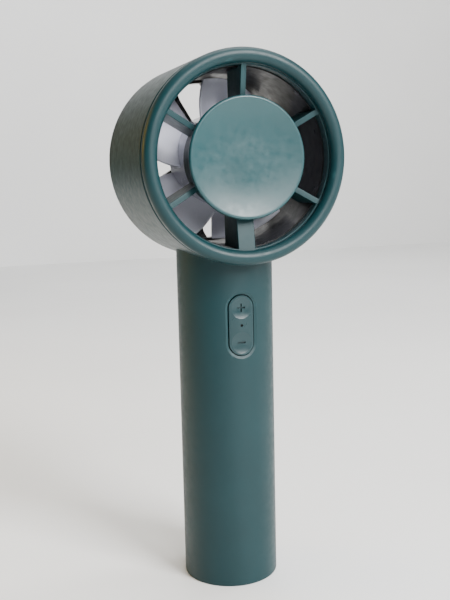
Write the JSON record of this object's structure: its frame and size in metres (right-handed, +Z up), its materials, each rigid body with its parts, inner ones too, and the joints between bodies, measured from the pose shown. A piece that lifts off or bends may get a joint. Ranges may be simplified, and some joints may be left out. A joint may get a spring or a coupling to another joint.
{
  "type": "handheld electric fan",
  "caption": "Straight-handled rechargeable hand fan: a short ducted drum with a dished hub disc on spokes, a bladed impeller and a rocker key.",
  "frame": {"origin": "centre of the handle's flat base", "axes": "+Z up along the handle, -Y towards the front of the fan where the air leaves, +X to the right seen from the front"},
  "size_m": [0.074, 0.0545, 0.1962],
  "materials": {
    "teal_shell": "fine matte moulding",
    "teal_cap": "satin",
    "teal_key": "satin",
    "duct_black": "gloss",
    "grille_black": "satin gloss",
    "impeller_plastic": "gloss",
    "bright_steel": "bright",
    "rotor_steel": "drawn",
    "core_steel": "stacked sheet",
    "magnet": "sintered",
    "bush_brass": "turned",
    "coil_copper": "enamelled wire",
    "board": "solder mask",
    "chip": "moulded",
    "inner_grey": "moulded",
    "nylon_white": "moulded",
    "cell_wrap": "heat-shrink film over a metal can",
    "foam": "closed-cell foam",
    "lead_skin": "soft insulation",
    "pipe_smoke": "smoked",
    "led_lens": "clear lens"
  },
  "bodies": {
    "body": {"handle_shell": "teal_shell", "base_cap": "teal_shell", "key_frame": "inner_grey", "neck_bracket": "inner_grey", "neck_screws": "bright_steel", "drum_sleeve": "teal_shell", "duct_liner": "duct_black", "front_bezel": "teal_shell", "front_grille": "teal_shell", "hub_cap": "teal_cap", "rear_grille": "grille_black", "motor_mount": "bright_steel", "motor_screws": "bright_steel", "motor_board": "board", "stator_core": "core_steel", "stator_coils": "coil_copper", "front_bearing": "bright_steel", "rear_bearing": "bright_steel", "plus_switch": "chip", "minus_switch": "chip", "indicator_led": "led_lens", "main_board": "board", "board_parts": "chip", "board_screws": "bright_steel", "usb_socket": "bright_steel", "motor_socket": "nylon_white", "motor_plug": "nylon_white", "battery_socket": "nylon_white", "battery_plug": "nylon_white", "battery_cell": "cell_wrap", "battery_tabs": "bright_steel", "battery_pad": "foam", "battery_cradle": "inner_grey", "battery_leads": "lead_skin", "motor_leads": "lead_skin"},
    "rotor": {"impeller": "impeller_plastic", "rotor_cup": "rotor_steel", "magnet_ring": "magnet", "motor_shaft": "bright_steel", "rotor_bush": "bush_brass", "shaft_clip": "bright_steel"},
    "key": {"rocker_key": "teal_key", "light_pipe": "pipe_smoke"},
    "plus_plunger": {"plus_plunger": "nylon_white"},
    "minus_plunger": {"minus_plunger": "nylon_white"}
  },
  "joints": [
    {"name": "impeller_spin", "type": "hinge", "parent": "body", "child": "rotor", "pos_m": [0, 0, 0.1592], "axis": [0, 1, 0], "continuous": true},
    {"name": "key_rock", "type": "hinge", "parent": "body", "child": "key", "pos_m": [0, -0.0136, 0.0996], "axis": [1, 0, 0], "range_deg": [-2, 2], "stiffness_Nm_per_rad": 0.15},
    {"name": "plus_press", "type": "slide", "parent": "body", "child": "plus_plunger", "axis": [0, 1, 0], "range_m": [-0.00024, 0.00024]},
    {"name": "minus_press", "type": "slide", "parent": "body", "child": "minus_plunger", "axis": [0, 1, 0], "range_m": [-0.00024, 0.00024]}
  ],
  "couplings": [
    {"joint": "plus_press", "follows": "key_rock", "m_per_rad": -0.0064},
    {"joint": "minus_press", "follows": "key_rock", "m_per_rad": 0.0064}
  ]
}
